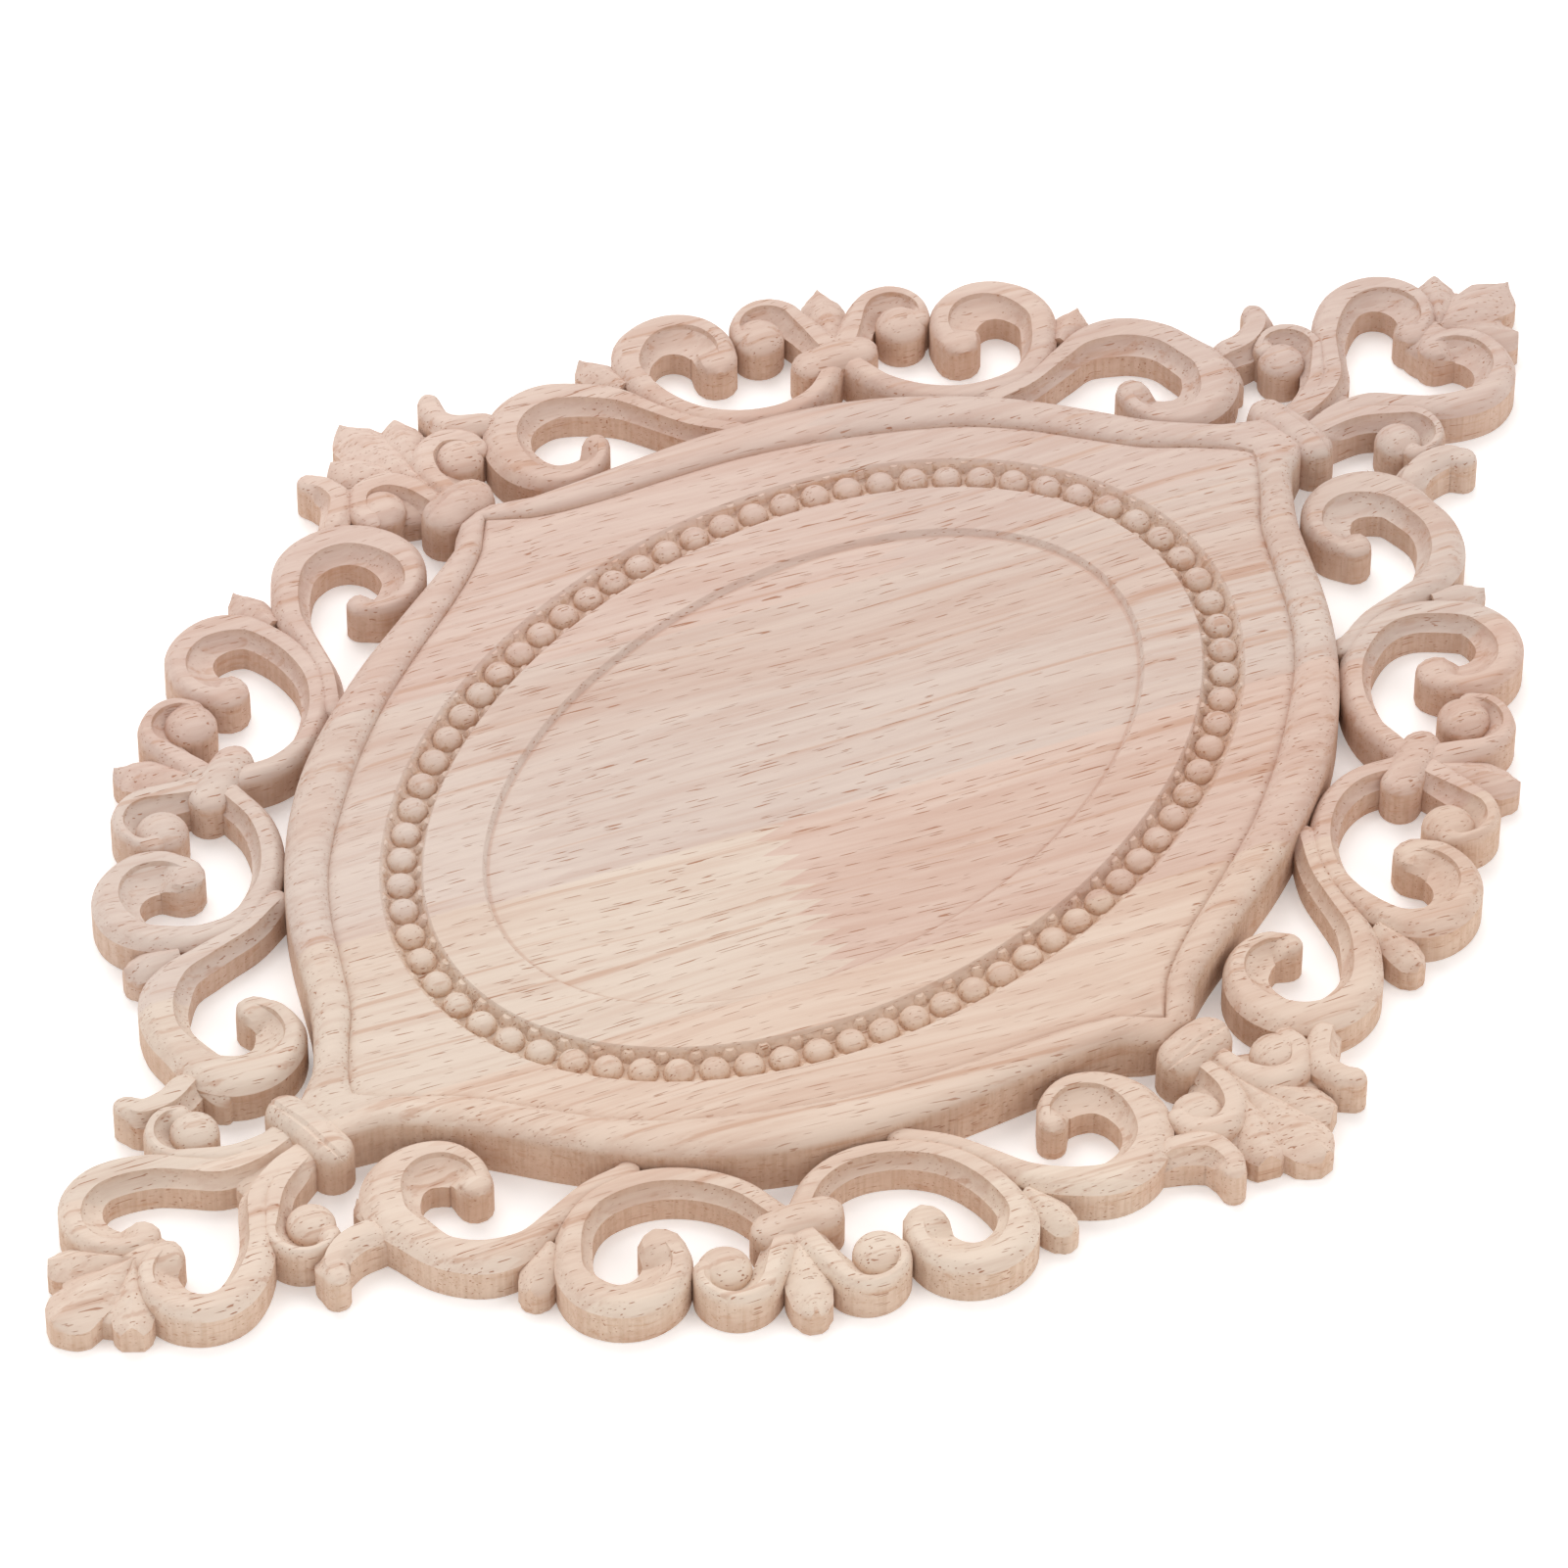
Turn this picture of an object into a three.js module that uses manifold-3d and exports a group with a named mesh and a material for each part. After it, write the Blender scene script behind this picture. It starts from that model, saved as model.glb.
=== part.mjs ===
import * as THREE from 'three';
import { mergeVertices } from 'three/addons/utils/BufferGeometryUtils.js';
import Module from 'manifold-3d';

// Carved wood applique, lying on its flat back: millimetres, +Z up, long axis along X.
// The origin is the middle of the flat back, which fits against the wall or furniture front.

// Main sizes
const rimHalfLength = 100;
const rimHalfWidth = 70.3;
const panelHeight = 11.3;
const mouldingHeight = 13.0;
const mouldingEdgeHeight = 10.3;
const mouldingSink = 1.6;
const bandHeight = 11.6;
const recessFloorHeight = 9.9;
const recessHalfLength = 78.3;
const recessHalfWidth = 49.1;
const recessStepWidth = 0.6;

// Bead ring in its channel
const channelWidth = 8.6;
const channelFloorHeight = 8.8;
const channelWallLean = 0.8;
const beadCount = 74;
const beadWidth = 5.8;
const beadHeight = 11.0;
const beadWaist = 0.45;

// Scroll section
const scrollOuterHeight = 8.0;
const scrollRidgeHeight = 9.2;
const scrollInnerHeight = 6.2;
const ridgePlace = 0;

// Extra width given to every scroll over the widths in the layout
const fullness = 0.4;

// Leaves, balls, collars and stems
const leafEdgeHeight = 5.6;
const leafRidgeHeight = 7.6;
const ballHeight = 9.7;
const collarEdgeHeight = 8.8;
const collarHeight = 12.2;
const stemHeight = 8.6;
const webHeight = 6.0;

// Fineness of the mesh
const panelSteps = 56;
const turnPerStep = 46;
const longestStep = 26;

// Layout points are hundredths of the oval rim's half length, in the quarter where x and y are positive.
const unit = rimHalfLength / 100;

const mouldingEdge = [[0, 100], [5.6, 99.6], [8.8, 95.8], [15, 93], [30, 88.6], [45, 84.2], [55, 80.4], [65, 76],
  [75, 70.6], [85, 63.4], [95, 54], [102, 46], [108, 37.5], [113.3, 28.8], [118.3, 20.8], [123.3, 14.8],
  [128.3, 9.8], [134.5, 6.8], [138, 5], [139, 0]];
const mouldingFillet = [[0, 96.5], [2, 95], [5, 91.8], [10, 88.5], [20, 84], [35, 78.6], [50, 72.6], [65, 64.6],
  [80, 54.6], [90, 46.4], [98, 37], [105, 26.4], [112, 16.2], [118.5, 9.8], [122.4, 5.6], [125, 2.6], [126.5, 0]];

const scrolls = [
  { name: 'short side hook', eye: [30, 104], radii: [6.5, 12.8], start: -60, sweep: -260, outer: 1,
    run: [[45.6, 105], [48.4, 96.5], [51.5, 88.5], [57, 80.5]],
    widths: [[0, 5.5], [0.12, 8.5], [0.25, 10], [0.45, 9.2], [0.62, 7.5], [0.8, 5], [1, 5]] },
  { name: 'short side scroll', eye: [62.5, 104.5], radii: [8.2, 9.6], start: -38, sweep: 215, outer: -1,
    run: [[52.5, 98], [54.5, 90], [60, 82.8], [68, 78], [76, 77.3], [85, 81]],
    widths: [[0, 8.8], [0.1, 9.6], [0.25, 9], [0.4, 6.4], [0.7, 5.5], [1, 5.5]] },
  { name: 'small volute to the short side', eye: [82.5, 97.5], radii: [5.5, 6], start: 150, sweep: -165, outer: 1,
    run: [[88.3, 92], [87.5, 84]],
    widths: [[0, 5], [0.5, 6.5], [1, 7]] },
  { name: 'small volute to the long side', eye: [103.5, 82.2], radii: [5.5, 6.2], start: -40, sweep: 150, outer: -1,
    run: [[97, 86], [90, 82.5]],
    widths: [[0, 5], [0.5, 6.5], [1, 7]] },
  { name: 'long side scroll', eye: [117, 65.5], radii: [8.1, 9.6], start: 160, sweep: -210, outer: 1,
    run: [[117, 53], [110, 51.3], [100, 54.5], [93, 61], [89, 69], [88.3, 76], [88, 81]],
    widths: [[0, 9], [0.1, 9.9], [0.25, 9], [0.35, 7.2], [0.5, 6.2], [0.8, 6.2], [1, 6]] },
  { name: 'long side hook', eye: [130.5, 29.5], radii: [7, 10.3], start: 164, sweep: 211, outer: -1,
    run: [[139.5, 39], [135, 45.5], [128, 49], [120, 48.8], [110, 48.2], [101, 50]],
    widths: [[0, 7], [0.12, 10], [0.28, 11.5], [0.45, 9], [0.6, 9.5], [0.75, 6], [0.85, 5], [1, 5]] },
  { name: 'short end hooked leaf', outer: 1,
    run: [[27, 116.5], [20.8, 119.8], [15.8, 124], [15.6, 128.5], [17, 131.6]],
    widths: [[0, 4.5], [0.3, 6], [0.6, 7], [0.85, 6], [1, 4.5]] },
  { name: 'long end hooked leaf', outer: 1,
    run: [[141, 29], [147, 26], [152, 25.3], [157, 27], [158.6, 30]],
    widths: [[0, 5], [0.3, 7], [0.6, 7], [0.85, 6.4], [1, 5]] },
  { name: 'ball volute at the long end', eye: [154.6, 17.2], radii: [4.6, 6], start: 115, sweep: -170, outer: 1,
    run: [[152, 6.5], [143, 3.5]],
    widths: [[0, 4.5], [0.5, 5.5], [1, 6]] },
  { name: 'heart scroll', eye: [176, 10.2], radii: [7.2, 9.5], start: -70, sweep: 190, outer: -1,
    run: [[165, 14.5], [161, 10], [156.5, 5], [149, 2.5], [141, 2.5]],
    widths: [[0, 7], [0.15, 8.5], [0.4, 7.7], [0.7, 6.3], [1, 6.3]] },
  { name: 'short end volute', outer: 1,
    run: [[2.2, 108], [3, 116], [6, 120.5], [11, 121.5], [14.8, 118], [15, 115]],
    widths: [[0, 5], [0.4, 6.8], [0.8, 6], [1, 4.8]] },
];

const balls = [
  { at: [80.1, 98.1], radius: 5.4 },
  { at: [104.1, 80.1], radius: 5.4 },
  { at: [153, 16.6], radius: 4.9 },
  { at: [11, 116], radius: 5.2 },
];

const leaves = [
  { root: [2, 119], tip: [9, 133.6], halfWidth: 4.7, shape: 'petal' },
  { root: [184, 0.5], tip: [195, 12], halfWidth: 3.9, shape: 'petal' },
  { root: [49.5, 107], tip: [48.8, 119.7], halfWidth: 3.7 },
  { root: [90, 86], tip: [99.2, 100], halfWidth: 4.6 },
  { root: [124, 53], tip: [134.4, 57.9], halfWidth: 3.7 },
];

// Half width along each kind of leaf: place from root to tip, share of the full half width
const leafShapes = {
  leaf: [[0, 0.8], [0.7, 1], [1, 0.3]],
  petal: [[0, 0.3], [0.75, 1], [1, 0.55]],
  fan: [[0, 0.4], [0.5, 0.9], [0.78, 1], [1, 0.14]],
};

const axisLeaves = [
  { root: [0, 124], tip: [0, 140.5], halfWidth: 6 },
  { root: [184, 0], tip: [204.8, 0], halfWidth: 5.8, shape: 'fan' },
  { root: [-184, 0], tip: [-204.8, 0], halfWidth: 5.8, shape: 'fan' },
  { root: [0, -124], tip: [0, -140.5], halfWidth: 6 },
];

const bars = [
  { name: 'tie', from: [81.4, 83.9], to: [91.6, 80.1], width: 8.4, height: 10.6, edge: 7.6 },
];

const axisBars = [
  { name: 'short collar', from: [-3.6, 104.6], to: [3.6, 104.6], width: 10, height: collarHeight, edge: collarEdgeHeight },
  { name: 'long collar', from: [138, -6.4], to: [138, 6.4], width: 8.8, height: collarHeight, edge: collarEdgeHeight },
  { name: 'short stem', from: [0, 98], to: [0, 126], width: 6.4, height: stemHeight, edge: stemHeight - 1.6 },
  { name: 'long stem', from: [138, 0], to: [153, 0], width: 9, height: stemHeight, edge: stemHeight - 1.6 },
];

// Plane curves
const add = (p, q, k = 1) => [p[0] + q[0] * k, p[1] + q[1] * k];

function turnPoints(eye, radii, start, sweep) {
  const count = Math.max(4, Math.ceil(Math.abs(sweep) / 32));
  const points = [];
  for (let i = 0; i <= count; i += 1) {
    const share = i / count;
    const angle = ((start + sweep * share) * Math.PI) / 180;
    const radius = radii[0] + (radii[1] - radii[0]) * (1 - (1 - share) ** 2.5);
    points.push([eye[0] + radius * Math.cos(angle), eye[1] + radius * Math.sin(angle)]);
  }
  return points;
}

function smoothLine(points) {
  const curve = new THREE.CatmullRomCurve3(points.map(([x, y]) => new THREE.Vector3(x, y, 0)), false, 'centripetal');
  curve.arcLengthDivisions = 400;
  const dense = curve.getSpacedPoints(400).map((p) => [p.x, p.y]);
  const ways = dense.slice(1).map((p, i) => Math.atan2(p[1] - dense[i][1], p[0] - dense[i][0]));
  const effort = [0];
  for (let i = 1; i < dense.length; i += 1) {
    let turn = i > 1 ? Math.abs(ways[i - 1] - ways[i - 2]) : 0;
    if (turn > Math.PI) turn = 2 * Math.PI - turn;
    const step = Math.hypot(dense[i][0] - dense[i - 1][0], dense[i][1] - dense[i - 1][1]);
    effort.push(effort[i - 1] + turn / ((turnPerStep * Math.PI) / 180) + step / longestStep);
  }
  const total = effort[effort.length - 1];
  const count = Math.max(2, Math.round(total));
  const line = [];
  let k = 0;
  for (let i = 0; i <= count; i += 1) {
    while (k < dense.length - 1 && effort[k] < (i / count) * total - 1e-9) k += 1;
    line.push({ at: dense[k], share: k / (dense.length - 1) });
  }
  return line;
}

function keyed(keys, share) {
  let i = 1;
  while (i < keys.length - 1 && keys[i][0] < share) i += 1;
  const [t0, v0] = keys[i - 1];
  const [t1, v1] = keys[i];
  const k = Math.min(1, Math.max(0, (share - t0) / (t1 - t0)));
  return v0 + (v1 - v0) * k * k * (3 - 2 * k);
}

// Solids from rows of points
function solidFromRows(rows, closed) {
  const positions = [];
  const triangles = [];
  const across = rows[0].length;
  rows.forEach((row) => row.forEach((p) => positions.push(...p)));
  const last = closed ? rows.length : rows.length - 1;
  for (let i = 0; i < last; i += 1) {
    const next = (i + 1) % rows.length;
    for (let j = 0; j < across; j += 1) {
      const k = (j + 1) % across;
      triangles.push(i * across + j, next * across + j, next * across + k);
      triangles.push(i * across + j, next * across + k, i * across + k);
    }
  }
  if (!closed) {
    [[0, 1], [rows.length - 1, -1]].forEach(([r, way]) => {
      const middle = [0, 1, 2].map((c) => rows[r].reduce((sum, p) => sum + p[c], 0) / across);
      const centre = positions.length / 3;
      positions.push(...middle);
      for (let j = 0; j < across; j += 1) {
        const a = r * across + j;
        const b = r * across + ((j + 1) % across);
        triangles.push(...(way > 0 ? [centre, a, b] : [centre, b, a]));
      }
    });
  }
  return facingOut(positions, triangles);
}

function facingOut(positions, triangles) {
  let volume = 0;
  for (let i = 0; i < triangles.length; i += 3) {
    const [a, b, c] = [0, 1, 2].map((k) => positions.slice(triangles[i + k] * 3, triangles[i + k] * 3 + 3));
    volume += a[0] * (b[1] * c[2] - b[2] * c[1]) + a[1] * (b[2] * c[0] - b[0] * c[2]) + a[2] * (b[0] * c[1] - b[1] * c[0]);
  }
  const ordered = triangles.slice();
  if (volume < 0) {
    for (let i = 0; i < ordered.length; i += 3) [ordered[i], ordered[i + 1]] = [ordered[i + 1], ordered[i]];
  }
  return { positions, triangles: ordered };
}

// A rounded member swept along a line, with vertical sides and a flat back
function sweep(line, widthAt, section, roundEnds = true) {
  const stations = line.map(({ at: p, share }, i) => {
    const before = line[Math.max(0, i - 1)].at;
    const after = line[Math.min(line.length - 1, i + 1)].at;
    const length = Math.hypot(after[0] - before[0], after[1] - before[1]);
    const way = [(after[0] - before[0]) / length, (after[1] - before[1]) / length];
    return { at: p, way, half: widthAt(share) / 2, lower: 0 };
  });
  if (roundEnds) {
    const first = stations[0];
    const end = stations[stations.length - 1];
    const caps = [55].map((degrees) => (degrees * Math.PI) / 180);
    const capped = (s, turn, sign) => ({ at: add(s.at, s.way, sign * s.half * Math.sin(turn)), way: s.way,
      half: s.half * Math.cos(turn), lower: 1.1 * (1 - Math.cos(turn)) });
    const heads = caps.slice().reverse().map((turn) => capped(first, turn, -1));
    const tails = caps.map((turn) => capped(end, turn, 1));
    stations.unshift(...heads);
    stations.push(...tails);
  }
  const rows = stations.map(({ at, way, half, lower }) => section.map(([across, height]) => {
    const left = [-way[1], way[0]];
    const [x, y] = add(at, left, across * half);
    return [x * unit, y * unit, Math.max(0, height > 0 ? height - lower : 0)];
  }));
  return solidFromRows(rows, false);
}

function scrollSection(outer) {
  return [[outer, 0], [outer, scrollOuterHeight], [outer * ridgePlace, scrollRidgeHeight],
    [-outer, scrollInnerHeight], [-outer, 0]];
}

function barSection(height, edge) {
  return [[-1, 0], [-1, edge], [-0.4, height], [0.4, height], [1, edge], [1, 0]];
}

function scroll(spec) {
  const turn = spec.eye ? turnPoints(spec.eye, spec.radii, spec.start, spec.sweep) : [];
  const line = smoothLine([...turn, ...spec.run]);
  return sweep(line, (share) => keyed(spec.widths, share) + fullness, scrollSection(spec.outer));
}

function bar({ from, to, width, height, edge }) {
  const line = [{ at: from, share: 0 }, { at: to, share: 1 }];
  return sweep(line, () => width, barSection(height, edge));
}

function leaf({ root, tip, halfWidth, shape = 'leaf' }) {
  const length = Math.hypot(tip[0] - root[0], tip[1] - root[1]);
  const way = [(tip[0] - root[0]) / length, (tip[1] - root[1]) / length];
  const shares = leafShapes[shape];
  const rows = shares.map(([share, wide]) => {
    const at = add(root, way, share * length);
    const drop = share > 0.5 ? (share - 0.5) * 1.6 : 0;
    return [[-wide, 0], [-wide, leafEdgeHeight - drop], [0, leafRidgeHeight - drop], [wide, leafEdgeHeight - drop],
      [wide, 0]].map(([across, height]) => {
      const p = add(at, [-way[1], way[0]], across * halfWidth);
      return [p[0] * unit, p[1] * unit, Math.max(0, height)];
    });
  });
  return solidFromRows(rows, false);
}

// Upright domed boss with vertical sides
function boss({ at, radius }, top = ballHeight, around = 6) {
  const levels = [[1, 0], [1, top - Math.min(radius * 0.5, top * 0.35)], [0.55, top]];
  const rows = levels.map(([share, height]) => {
    const row = [];
    for (let i = 0; i < around; i += 1) {
      const angle = (i / around) * 2 * Math.PI;
      row.push([(at[0] + share * radius * Math.cos(angle)) * unit, (at[1] + share * radius * Math.sin(angle)) * unit, height]);
    }
    return row;
  });
  return solidFromRows(rows, false);
}

// Panel with recess, bead channel and border moulding
function ovalRow(halfLength, halfWidth, height, steps = panelSteps) {
  const row = [];
  for (let i = 0; i < steps; i += 1) {
    const angle = (i / steps) * 2 * Math.PI;
    row.push([halfLength * Math.cos(angle), halfWidth * Math.sin(angle), height]);
  }
  return row;
}

function quarterLine(points) {
  const steps = panelSteps / 4;
  const curve = new THREE.CatmullRomCurve3(points.map(([x, y]) => new THREE.Vector3(x, y, 0)), false, 'centripetal');
  curve.arcLengthDivisions = 600;
  const dense = curve.getSpacedPoints(600).map((p) => [Math.abs(p.x), Math.abs(p.y)]).reverse();
  const along = (p) => Math.atan2(p[1] / rimHalfWidth, p[0] / rimHalfLength);
  const line = [];
  for (let i = 0; i <= steps; i += 1) {
    const wanted = (i / steps) * Math.PI * 0.5;
    let best = dense[0];
    dense.forEach((p) => {
      if (Math.abs(along(p) - wanted) < Math.abs(along(best) - wanted)) best = p;
    });
    line.push(best);
  }
  return line;
}

function allRound(quarter, height, sinking = 0) {
  const back = quarter.slice(0, -1);
  const left = quarter.slice(1).reverse().map(([x, y]) => [-x, y]);
  const under = back.map(([x, y]) => [-x, -y]);
  const right = quarter.slice(1).reverse().map(([x, y]) => [x, -y]);
  // The moulding sinks a little where it runs under the collars at its four points.
  const sink = (x, y) => {
    const near = Math.max((Math.abs(x) - 122) / 14, (Math.abs(y) - 91) / 8);
    return sinking * Math.min(1, Math.max(0, near));
  };
  return [...back, ...left, ...under, ...right].map(([x, y]) => [x * unit, y * unit, height - sink(x, y)]);
}

function panel() {
  const edge = quarterLine(mouldingEdge);
  const fillet = quarterLine(mouldingFillet);
  const between = (share) => edge.map((p, i) => [fillet[i][0] + (p[0] - fillet[i][0]) * share,
    fillet[i][1] + (p[1] - fillet[i][1]) * share]);
  const inset = (amount, height) => ovalRow(rimHalfLength - amount, rimHalfWidth - amount, height);
  const rows = [
    ovalRow(recessHalfLength, recessHalfWidth, recessFloorHeight),
    ovalRow(recessHalfLength + recessStepWidth, recessHalfWidth + recessStepWidth, bandHeight - 0.4),
    inset(channelWidth, bandHeight),
    inset(channelWidth - channelWallLean, channelFloorHeight),
    inset(channelWallLean, channelFloorHeight),
    inset(0, panelHeight),
    allRound(fillet, panelHeight - 0.5, mouldingSink / 2),
    allRound(between(0.12), mouldingHeight - 1.0, mouldingSink),
    allRound(between(0.4), mouldingHeight, mouldingSink),
    allRound(between(0.8), mouldingHeight - 0.8, mouldingSink),
    allRound(edge, mouldingEdgeHeight, mouldingSink),
    allRound(edge, 0),
  ];
  return solidFromRows(rows, false);
}

function beadRing() {
  const rows = [];
  const middleLength = rimHalfLength - channelWidth / 2;
  const middleWidth = rimHalfWidth - channelWidth / 2;
  const dense = ovalRow(middleLength, middleWidth, 0, 2880);
  const lengths = [0];
  dense.forEach((p, i) => {
    const q = dense[(i + 1) % dense.length];
    lengths.push(lengths[i] + Math.hypot(q[0] - p[0], q[1] - p[1]));
  });
  const steps = beadCount * 2;
  let k = 0;
  for (let i = 0; i < steps; i += 1) {
    const wanted = (i / steps) * lengths[dense.length];
    while (lengths[k + 1] < wanted) k += 1;
    const p = dense[k];
    const normal = [p[0] / middleLength ** 2, p[1] / middleWidth ** 2];
    const size = Math.hypot(normal[0], normal[1]);
    const share = i % 2 ? 1 : beadWaist;
    const half = (beadWidth / 2) * share;
    const top = channelFloorHeight + (i % 2 ? beadHeight - channelFloorHeight : -0.3);
    rows.push([[-1.2, channelFloorHeight - 0.6], [0, top], [1.2, channelFloorHeight - 0.6]].map(([across, height]) => [
      p[0] + (normal[0] / size) * half * across, p[1] + (normal[1] / size) * half * across, height]));
  }
  return solidFromRows(rows, true);
}

const wasm = await Module();
wasm.setup();

function solid({ positions, triangles }) {
  const mesh = new wasm.Mesh({ numProp: 3, vertProperties: new Float32Array(positions), triVerts: new Uint32Array(triangles) });
  return new wasm.Manifold(mesh);
}

function mirrored({ positions, triangles }, signX, signY) {
  return facingOut(positions.map((v, i) => (i % 3 === 0 ? v * signX : i % 3 === 1 ? v * signY : v)), triangles);
}

const quarterShapes = [...scrolls.map(scroll), ...bars.map(bar), ...leaves.map(leaf), ...balls.map((b) => boss(b))];
const wholeShapes = [panel(), ...axisBars.map(bar), ...axisLeaves.map(leaf),
  ...axisBars.map(({ from, to, ...rest }) => bar({ from: [-from[0], -from[1]], to: [-to[0], -to[1]], ...rest })),
  boss({ at: [181, 0], radius: 6.2 }), boss({ at: [-181, 0], radius: 6.2 }),
  boss({ at: [0, 121], radius: 12 }, webHeight, 10), boss({ at: [0, -121], radius: 12 }, webHeight, 10),
  boss({ at: [188, 0], radius: 9.2 }, webHeight, 10), boss({ at: [-188, 0], radius: 9.2 }, webHeight, 10)];

let body = solid(beadRing());
wholeShapes.forEach((shape) => {
  body = body.add(solid(shape));
});
[[1, 1], [-1, 1], [-1, -1], [1, -1]].forEach(([signX, signY]) => {
  quarterShapes.forEach((shape) => {
    body = body.add(solid(mirrored(shape, signX, signY)));
  });
});

const found = body.getMesh();
const geometry = new THREE.BufferGeometry();
const vertices = new Float32Array((found.vertProperties.length / found.numProp) * 3);
for (let i = 0; i < vertices.length / 3; i += 1) {
  for (let c = 0; c < 3; c += 1) vertices[i * 3 + c] = found.vertProperties[i * found.numProp + c];
}
geometry.setAttribute('position', new THREE.BufferAttribute(vertices, 3));
geometry.setIndex(new THREE.BufferAttribute(new Uint32Array(found.triVerts), 1));
const joined = mergeVertices(geometry, 1e-5);
joined.computeVertexNormals();

const wood = new THREE.MeshStandardMaterial({ color: 0xdcc4b0, roughness: 0.85, metalness: 0 });
const applique = new THREE.Mesh(joined, wood);
applique.name = 'carved_applique';

const part = new THREE.Group();
part.name = 'carved_wood_applique';
part.add(applique);
export default part;
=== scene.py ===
import math
import bmesh
import bpy
from mathutils import Matrix, Vector


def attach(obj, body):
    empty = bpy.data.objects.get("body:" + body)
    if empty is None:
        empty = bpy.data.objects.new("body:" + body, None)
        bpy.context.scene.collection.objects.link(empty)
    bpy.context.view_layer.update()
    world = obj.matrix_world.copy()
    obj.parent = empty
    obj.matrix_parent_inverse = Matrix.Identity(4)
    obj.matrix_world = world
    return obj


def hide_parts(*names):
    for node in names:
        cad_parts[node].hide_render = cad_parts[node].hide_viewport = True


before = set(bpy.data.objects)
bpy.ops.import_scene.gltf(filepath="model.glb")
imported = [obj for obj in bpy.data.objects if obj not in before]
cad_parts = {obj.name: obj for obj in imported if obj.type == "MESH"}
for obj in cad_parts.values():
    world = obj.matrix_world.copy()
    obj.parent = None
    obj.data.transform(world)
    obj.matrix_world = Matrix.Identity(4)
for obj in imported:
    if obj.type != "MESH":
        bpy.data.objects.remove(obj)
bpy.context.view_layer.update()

mm = 0.001
print("frame loaded")

# the oval rim; layout points are hundredths of its half length
oval = {"halfLength": 100.0, "halfWidth": 70.3}
unit = oval["halfLength"] / 100

# heights above the flat back, in millimetres
heights = {
    "panel": 11.3, "band": 11.6, "recess": 9.9, "channel": 8.8,
    "moulding": 13.0, "mouldingEdge": 9.4, "mouldingSink": 1.6, "coveDeep": 0.75,
    "scrollOuter": 7.2, "scrollRidge": 9.6, "scrollStep": 8.2, "scrollInner": 5.8,
    "leafEdge": 6.2, "leafRidge": 8.6, "ball": 9.9, "web": 7.1, "fanBoss": 8.6,
    "collar": 12.4, "collarEdge": 7.6, "stem": 8.8, "tie": 10.8, "tieEdge": 7.2,
}


# curves in the plane: a curl tightens towards its eye
curlMake = {"degreesPerPoint": 32, "fewestSpans": 4, "tightening": 2.5}


def turnPoints(eye, radii, start, sweep):
    count = max(curlMake["fewestSpans"], math.ceil(abs(sweep) / curlMake["degreesPerPoint"]))
    points = []
    for i in range(count + 1):
        share = i / count
        angle = math.radians(start + sweep * share)
        radius = radii[0] + (radii[1] - radii[0]) * (1 - (1 - share) ** curlMake["tightening"])
        points.append(Vector((eye[0] + radius * math.cos(angle), eye[1] + radius * math.sin(angle))))
    return points


def denseLine(points, perSpan=40):
    # a smooth line through the points, with a mirrored point beyond each end
    pts = [Vector(p) for p in points]
    pts = [2 * pts[0] - pts[1]] + pts + [2 * pts[-1] - pts[-2]]
    line = []
    for i in range(1, len(pts) - 2):
        a, b, c, d = pts[i - 1], pts[i], pts[i + 1], pts[i + 2]
        t0, t1, t2 = (max((q - p).length, 1e-6) ** 0.5 for p, q in ((a, b), (b, c), (c, d)))
        leave = ((b - a) / t0 - (c - a) / (t0 + t1) + (c - b) / t1) * t1
        reach = ((c - b) / t1 - (d - b) / (t1 + t2) + (d - c) / t2) * t1
        for k in range(perSpan):
            s = k / perSpan
            line.append(b * (2 * s**3 - 3 * s**2 + 1) + leave * (s**3 - 2 * s**2 + s)
                        + c * (3 * s**2 - 2 * s**3) + reach * (s**3 - s**2))
    line.append(pts[-2])
    return line


def stations(points, turnPerStep, longestStep):
    # points closer together where the line turns
    tiny = 1e-9
    line = denseLine(points)
    effort, length = [0.0], [0.0]
    for i in range(1, len(line)):
        step = (line[i] - line[i - 1]).length
        turn = 0.0
        if i > 1 and step > tiny and (line[i - 1] - line[i - 2]).length > tiny:
            turn = abs((line[i - 1] - line[i - 2]).angle_signed(line[i] - line[i - 1]))
        effort.append(effort[-1] + turn / math.radians(turnPerStep) + step / longestStep)
        length.append(length[-1] + step)
    count = max(4, round(effort[-1]))
    picked, k = [], 0
    for i in range(count + 1):
        wanted = effort[-1] * i / count
        while k < len(line) - 1 and effort[k] < wanted - tiny:
            k += 1
        picked.append({"at": line[k], "share": length[k] / length[-1],
                       "run": length[k], "left": length[-1] - length[k]})
    for i, spot in enumerate(picked):
        way = picked[min(i + 1, len(picked) - 1)]["at"] - picked[max(i - 1, 0)]["at"]
        spot["way"] = way.normalized()
    return picked


def keyed(keys, share):
    # eased value between the (share, value) keys
    for (t0, v0), (t1, v1) in zip(keys, keys[1:]):
        if share <= t1 or (t1, v1) == tuple(keys[-1]):
            k = min(1, max(0, (share - t0) / (t1 - t0)))
            return v0 + (v1 - v0) * k * k * (3 - 2 * k)


def soft(low, high, value):
    k = min(1, max(0, (value - low) / (high - low)))
    return k * k * (3 - 2 * k)


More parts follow.
